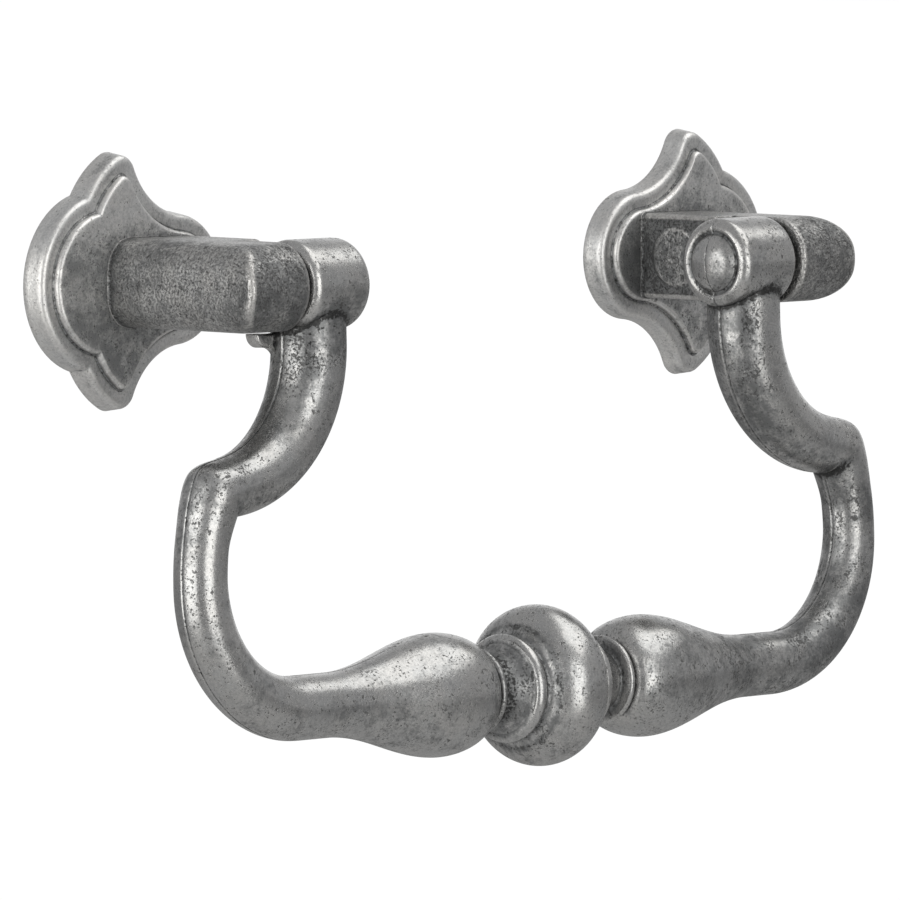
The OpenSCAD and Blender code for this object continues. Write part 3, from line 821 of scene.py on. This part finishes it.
def make_wash_and_shade():
    """Dark wash left in the low places, and painted shade: a cloudy noise at three scales, raised where
    the darkening attribute is high, which holds painted shade as well as patina and dirt, and lowered
    where the wear attribute is."""
    inputs = {"Vector": (0.0, 0.0, 0.0), "Scale": 160.0, "Amount": 0.5, "Grime": 0.0, "Wear": 0.0}
    tree, given, out = shader_group("dark_wash_and_shade", inputs, ["Wash"])
    vector, scale, amount, grime_and_shade, wear = given.outputs[:5]
    cloud = noise(tree, vector, scale, 4.0, 0.6, 0.4)
    mottle = noise(tree, vector, math_node(tree, "MULTIPLY", scale, 5.5), 5.0, 0.7)
    grain = noise(tree, vector, math_node(tree, "MULTIPLY", scale, 21.0), 2.0, 0.6)
    mixed = math_node(tree, "MULTIPLY_ADD", mottle, 0.4, math_node(tree, "MULTIPLY", cloud, 0.4))
    mixed = math_node(tree, "MULTIPLY_ADD", grain, 0.2, mixed)
    mixed = math_node(tree, "MULTIPLY_ADD", mixed, 1.5, -0.25)
    # Raised by the darkening attribute, which paints shade where pieces meet
    lifted = math_node(tree, "MULTIPLY_ADD", grime_and_shade, 0.26, mixed)
    lowered = math_node(tree, "MULTIPLY_ADD", wear, -0.3, lifted)
    edge = math_node(tree, "MULTIPLY_ADD", amount, -0.3, 0.62)
    set_input(tree, out.inputs["Wash"], ramp(tree, math_node(tree, "SUBTRACT", lowered, edge), -0.07, 0.22))
    return tree


def make_polish():
    """Hand polish on the high edges: the wear attribute, broken up by a fine noise."""
    inputs = {"Vector": (0.0, 0.0, 0.0), "Scale": 900.0, "Amount": 1.0, "Wear": 0.0}
    tree, given, out = shader_group("hand_polish", inputs, ["Polish"])
    vector, scale, amount, wear = given.outputs[:4]
    broken = ramp(tree, noise(tree, vector, scale, 4.0, 0.7), 0.3, 0.6, 0.45, 1.0)
    worn = math_node(tree, "MULTIPLY", math_node(tree, "MULTIPLY", wear, amount), broken)
    set_input(tree, out.inputs["Polish"], math_node(tree, "MINIMUM", worn, 1.0))
    return tree


def make_grain():
    """Fine grain of the brushed casting: a high noise drawn out along one axis, and a soft unevenness
    like the skin of cast metal."""
    inputs = {"Vector": (0.0, 0.0, 0.0), "Scale": 3500.0, "Draw": (1.0, 1.0, 1.0)}
    tree, given, out = shader_group("cast_grain", inputs, ["Grain", "Swell"])
    vector, scale, draw = given.outputs[:3]
    stretched = tree.nodes.new("ShaderNodeVectorMath")
    stretched.operation = "MULTIPLY"
    set_input(tree, stretched.inputs[0], vector)
    set_input(tree, stretched.inputs[1], draw)
    set_input(tree, out.inputs["Grain"], noise(tree, stretched.outputs[0], scale, 3.0, 0.6))
    swell_scale = math_node(tree, "MULTIPLY", scale, 0.11)
    set_input(tree, out.inputs["Swell"], noise(tree, vector, swell_scale, 2.0, 0.5))
    return tree


# Scales of the finish, in cells of noise along a metre
WASH_SCALE = 170.0
POLISH_SCALE = 1100.0
GRAIN_SCALE = 3400.0
TINT_SCALE = 260.0
GRIT_SCALE = 2400.0
DRAWN_SCALE = 2500.0

PITS = make_pits()
WASH_AND_SHADE = make_wash_and_shade()
POLISH = make_polish()
GRAIN = make_grain()


def placed(tree, group, **values):
    """A group in a material's tree, with its own values."""
    node = tree.nodes.new("ShaderNodeGroup")
    node.node_tree = group
    for label, value in values.items():
        set_input(tree, node.inputs[label], value)
    return node


def pewter(name, base, wash_amount, pit_amount, pit_scale, roughness, grain_depth, speckle, patches):
    """Antique pewter: grey metal with fine light and dark specks, a dark wash, pits, near-black grit
    in the crevices and polished edges. Wash, pits and near-black follow the darkening attribute too,
    and so paint shade where pieces meet. Each is a share of the base grey, mixed in by its mask."""
    material = bpy.data.materials.new(name)
    tree, surface = empty_tree(material, "ShaderNodeOutputMaterial")
    shader = tree.nodes.new("ShaderNodeBsdfPrincipled")
    tree.links.new(shader.outputs[0], surface)
    place = coordinates(tree, "Object")
    wear = attribute(tree, "wear")
    grime_and_shade = attribute(tree, "grime_and_shade")
    # More pits where the darkening attribute, patina and painted shade, is high
    more = math_node(tree, "MULTIPLY_ADD", grime_and_shade, 0.4, pit_amount)
    pits = placed(tree, PITS, Vector=place, Scale=pit_scale, Amount=more, Patches=patches).outputs["Pits"]
    wash_and_shade = placed(tree, WASH_AND_SHADE, Vector=place, Scale=WASH_SCALE, Amount=wash_amount, Grime=grime_and_shade,
                  Wear=wear).outputs["Wash"]
    polish = placed(tree, POLISH, Vector=place, Scale=POLISH_SCALE, Amount=1.0,
                    Wear=wear).outputs["Polish"]
    grain = placed(tree, GRAIN, Vector=place, Scale=GRAIN_SCALE, Draw=(1.0, 1.0, 1.0))

    def grey(share, warm):
        return (base * share * (1 + warm), base * share, base * share * (1 - warm), 1)

    tint = ramp(tree, noise(tree, place, TINT_SCALE, 3.0, 0.6), 0.35, 0.65)
    metal = mix_colour(tree, tint, grey(1.0, 0.018), grey(0.93, -0.012))
    fleck = ramp(tree, grain.outputs["Grain"], 0.4, 0.6)
    specked = mix_colour(tree, fleck, grey(1 - speckle, 0.0), grey(1 + 0.8 * speckle, 0.01))
    metal = mix_colour(tree, 0.6, metal, specked)
    # The dark wash, which also paints shade where pieces meet
    washed_and_shaded = mix_colour(tree, wash_and_shade, metal, grey(0.42, -0.015))
    pitted = mix_colour(tree, math_node(tree, "MULTIPLY", pits, 0.85), washed_and_shaded, grey(0.18, 0.0))
    grit = math_node(tree, "MULTIPLY_ADD", noise(tree, place, GRIT_SCALE, 3.0, 0.6), 2.0, -1.0)
    # Near-black: grit in the crevices, and painted shade where the darkening attribute nears 1 where pieces
    # meet
    grit_and_shade = ramp(tree, math_node(tree, "ADD", grime_and_shade, grit), 0.8, 1.1)
    pitted = mix_colour(tree, math_node(tree, "MULTIPLY", grit_and_shade, 0.93), pitted, grey(0.08, 0.0))
    bright = mix_colour(tree, math_node(tree, "MULTIPLY", polish, 0.7), pitted, grey(1.5, 0.02))
    tree.links.new(bright, shader.inputs["Base Color"])
    dull = math_node(tree, "MULTIPLY_ADD", wash_and_shade, 0.14, roughness)
    dull = math_node(tree, "MULTIPLY_ADD", pits, 0.2, dull)
    dull = math_node(tree, "MULTIPLY_ADD", polish, -0.06, dull)
    uneven = math_node(tree, "SUBTRACT", grain.outputs["Swell"], 0.5)
    dull = math_node(tree, "MULTIPLY_ADD", uneven, 0.2, dull, clamp=True)
    tree.links.new(dull, shader.inputs["Roughness"])
    tree.links.new(math_node(tree, "MULTIPLY_ADD", pits, -0.3, 0.98), shader.inputs["Metallic"])
    low = math_node(tree, "MULTIPLY", grain.outputs["Grain"], 0.5)
    low = math_node(tree, "MULTIPLY_ADD", pits, -0.6, low)
    height = math_node(tree, "MULTIPLY_ADD", grain.outputs["Swell"], 1.2, low)
    tree.links.new(bump(tree, height, 0.8, grain_depth), shader.inputs["Normal"])
    return material


def drawn_steel():
    """Drawn steel of the pins: bright grey with fine lines round the pin."""
    material = bpy.data.materials.new("drawn_steel")
    material.use_nodes = True
    tree = material.node_tree
    shader = tree.nodes["Principled BSDF"]
    place = coordinates(tree, "Object")
    grain = placed(tree, GRAIN, Vector=place, Scale=DRAWN_SCALE, Draw=(3.0, 0.15, 0.15))
    colour = mix_colour(tree, grain.outputs["Grain"], (0.36, 0.36, 0.36, 1), (0.55, 0.55, 0.54, 1))
    tree.links.new(colour, shader.inputs["Base Color"])
    shader.inputs["Metallic"].default_value = 1.0
    tree.links.new(ramp(tree, grain.outputs["Swell"], 0.3, 0.7, 0.25, 0.4), shader.inputs["Roughness"])
    tree.links.new(bump(tree, grain.outputs["Grain"], 0.3, 0.00003), shader.inputs["Normal"])
    return material


bail_metal = pewter("pewter_bail", base=0.475, wash_amount=0.3, pit_amount=0.43, pit_scale=3600.0,
                    roughness=0.25, grain_depth=0.00005, speckle=0.13, patches=0.85)
post_metal = pewter("pewter_post", base=0.42, wash_amount=0.36, pit_amount=0.42, pit_scale=4200.0,
                    roughness=0.36, grain_depth=0.00015, speckle=0.6, patches=0.3)
plate_metal = pewter("pewter_plate", base=0.65, wash_amount=0.25, pit_amount=0.2, pit_scale=4200.0,
                     roughness=0.4, grain_depth=0.00006, speckle=0.16, patches=0.55)
pin_metal = drawn_steel()

# Pieces of the handle

piece("bail_rod", [rod_shell()], bail_stain_and_shade, rubbed_bail, "bail", bail_metal, ["bail"])
right_barrel = barrel_shell()
right_nib = nib_shell()
right_post = capped(post_skin())
right_plate = closed_round(plate_skin())
for side, turn in (("right", tuple), ("left", mirrored)):
    for name, shell in (("barrel_", right_barrel), ("stop_nib_", right_nib)):
        piece(name + side, [turn(shell)], near_leg, rubbed_bail, "bail", bail_metal, [])
    piece("cast_post_" + side, [turn(right_post)], near_plate, rubbed_post, "mount",
          post_metal, ["post_" + side])
    piece("cast_plate_" + side, [turn(right_plate)], near_post, rubbed_plate, "mount",
          plate_metal, ["backplate_" + side])
for side in ("left", "right"):
    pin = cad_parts["pivot_pin_" + side]
    pin.data.materials.clear()
    pin.data.materials.append(pin_metal)

# Floor, light and camera

FLOOR_Z = -0.42
FLOOR_HALF_W = 12.0
FLOOR_GREY = 0.62
FLOOR_SEEN = 1.03
FLOOR_GLOSS = 0.1
ROOM = 0.3
FRONT_GREY = 0.45
LAMP_FAR = 0.9
AIM = (0.0, -0.015, -0.02)
CAMERA_TURN = (48.007, 3.938, 0.285)
CAMERA_TARGET = (-0.002095, -0.01, -0.02073)
CAMERA_FAR = 1.29926
FOCAL_PIXELS = 11289.9
PICTURE_PIXELS = 900
SENSOR_MM = 36.0


def pale_floor():
    """White floor. What the camera sees is plain white 1.4 m away, and within 0.5 m has a tenth of the
    lit floor in it, so that the shadow stays. The metal reflects the lit floor, a little whitened."""
    mesh = bpy.data.meshes.new("floor")
    corners = [(-1, -1), (1, -1), (1, 1), (-1, 1)]
    points = [(FLOOR_HALF_W * x, FLOOR_HALF_W * y, FLOOR_Z) for x, y in corners]
    mesh.from_pydata(points, [], [(0, 1, 2, 3)])
    floor = bpy.data.objects.new("floor", mesh)
    bpy.context.scene.collection.objects.link(floor)
    material = bpy.data.materials.new("pale_floor")
    tree, surface = empty_tree(material, "ShaderNodeOutputMaterial")
    lit = tree.nodes.new("ShaderNodeBsdfDiffuse")
    lit.inputs["Color"].default_value = (FLOOR_GREY, FLOOR_GREY, FLOOR_GREY, 1)
    plain = tree.nodes.new("ShaderNodeEmission")
    plain.inputs["Color"].default_value = (1, 1, 1, 1)
    plain.inputs["Strength"].default_value = FLOOR_SEEN
    far = tree.nodes.new("ShaderNodeVectorMath")
    far.operation = "LENGTH"
    tree.links.new(coordinates(tree, "Object"), far.inputs[0])
    share = ramp(tree, far.outputs["Value"], 0.5, 1.4, 0.9, 1.0)
    path = tree.nodes.new("ShaderNodeLightPath")
    seen = math_node(tree, "MAXIMUM", path.outputs["Is Camera Ray"], path.outputs["Is Transmission Ray"])
    seen = math_node(tree, "MULTIPLY", seen, share)
    seen = math_node(tree, "MULTIPLY_ADD", path.outputs["Is Glossy Ray"], FLOOR_GLOSS, seen, clamp=True)
    tree.links.new(mix_shader(tree, seen, lit.outputs[0], plain.outputs[0]), surface)
    mesh.materials.append(material)


def studio():
    """Plain world: white where the camera looks past the floor. The metal reflects the same white
    straight behind the object and a greyer room all round, and is lit by a dim room."""
    world = bpy.data.worlds.new("studio")
    bpy.context.scene.world = world
    tree, surface = empty_tree(world, "ShaderNodeOutputWorld")
    plain = tree.nodes.new("ShaderNodeBackground")
    seen = tree.nodes.new("ShaderNodeBackground")
    plain.inputs["Color"].default_value = (ROOM, ROOM, ROOM, 1)
    path = tree.nodes.new("ShaderNodeLightPath")
    towards = tree.nodes.new("ShaderNodeVectorMath")
    towards.operation = "DOT_PRODUCT"
    tree.links.new(coordinates(tree, "Generated"), towards.inputs[0])
    towards.inputs[1].default_value = level_back
    front = ramp(tree, towards.outputs["Value"], -0.98, -0.75)
    front = math_node(tree, "MULTIPLY", front, path.outputs["Is Glossy Ray"])
    shade = mix_colour(tree, front, (1, 1, 1, 1), (FRONT_GREY, FRONT_GREY, FRONT_GREY, 1))
    tree.links.new(shade, seen.inputs["Color"])
    ray = math_node(tree, "MAXIMUM", path.outputs["Is Camera Ray"], path.outputs["Is Glossy Ray"])
    ray = math_node(tree, "MAXIMUM", ray, path.outputs["Is Transmission Ray"])
    tree.links.new(mix_shader(tree, ray, plain.outputs[0], seen.outputs[0]), surface)


def softbox(name, place, aim, size, power):
    """A large soft lamp at a place, facing the aim, both in metres."""
    lamp = bpy.data.lights.new(name, "AREA")
    lamp.shape = "RECTANGLE"
    lamp.size, lamp.size_y = size
    lamp.energy = power
    lamp.color = (1.0, 0.995, 0.96)
    made = bpy.data.objects.new(name, lamp)
    bpy.context.scene.collection.objects.link(made)
    made.location = place
    made.rotation_mode = "QUATERNION"
    made.rotation_quaternion = (Vector(place) - Vector(aim)).to_track_quat("Z", "Y")


def camera_axes(azimuth, elevation, roll):
    """Right, up and back of a camera at that azimuth left of straight on, elevation and roll."""
    a, e, r = (math.radians(v) for v in (azimuth, elevation, roll))
    back = np.array([-math.sin(a) * math.cos(e), -math.cos(a) * math.cos(e), math.sin(e)])
    right = np.array([math.cos(a), -math.sin(a), 0.0])
    up = np.cross(back, right)
    return (math.cos(r) * right + math.sin(r) * up, math.cos(r) * up - math.sin(r) * right, back)


right_way, up_way, back_way = camera_axes(*CAMERA_TURN)
level_back = back_way * [1, 1, 0] / np.hypot(*back_way[:2])
pale_floor()
studio()


def from_camera(sideways, height):
    """A lamp's place, as degrees to the right of the camera's heading and above the horizon, seen
    from the aim."""
    s, h = math.radians(sideways), math.radians(height)
    flat = math.cos(s) * level_back + math.sin(s) * right_way
    way = math.cos(h) * flat + math.sin(h) * np.array([0, 0, 1])
    return tuple(np.array(AIM) + LAMP_FAR * way)


softbox("softbox_left", from_camera(-42, 2), AIM, (0.78, 0.95), 4.4)
softbox("softbox_right", from_camera(35, 1), AIM, (0.56, 1.05), 3.2)
softbox("softbox_top", from_camera(97, 60), AIM, (1.1, 0.68), 3.3)

lens = bpy.data.cameras.new("camera")
lens.sensor_width = SENSOR_MM
lens.lens = FOCAL_PIXELS / PICTURE_PIXELS * SENSOR_MM
lens.clip_start = 0.05
lens.clip_end = 40.0
camera = bpy.data.objects.new("camera", lens)
bpy.context.scene.collection.objects.link(camera)
camera_place = np.array(CAMERA_TARGET) + CAMERA_FAR * back_way
pose = np.eye(4)
pose[:3] = np.stack([right_way, up_way, back_way, camera_place], axis=1)
camera.matrix_world = Matrix(pose)
bpy.context.scene.camera = camera
bpy.context.scene.view_settings.view_transform = "Standard"
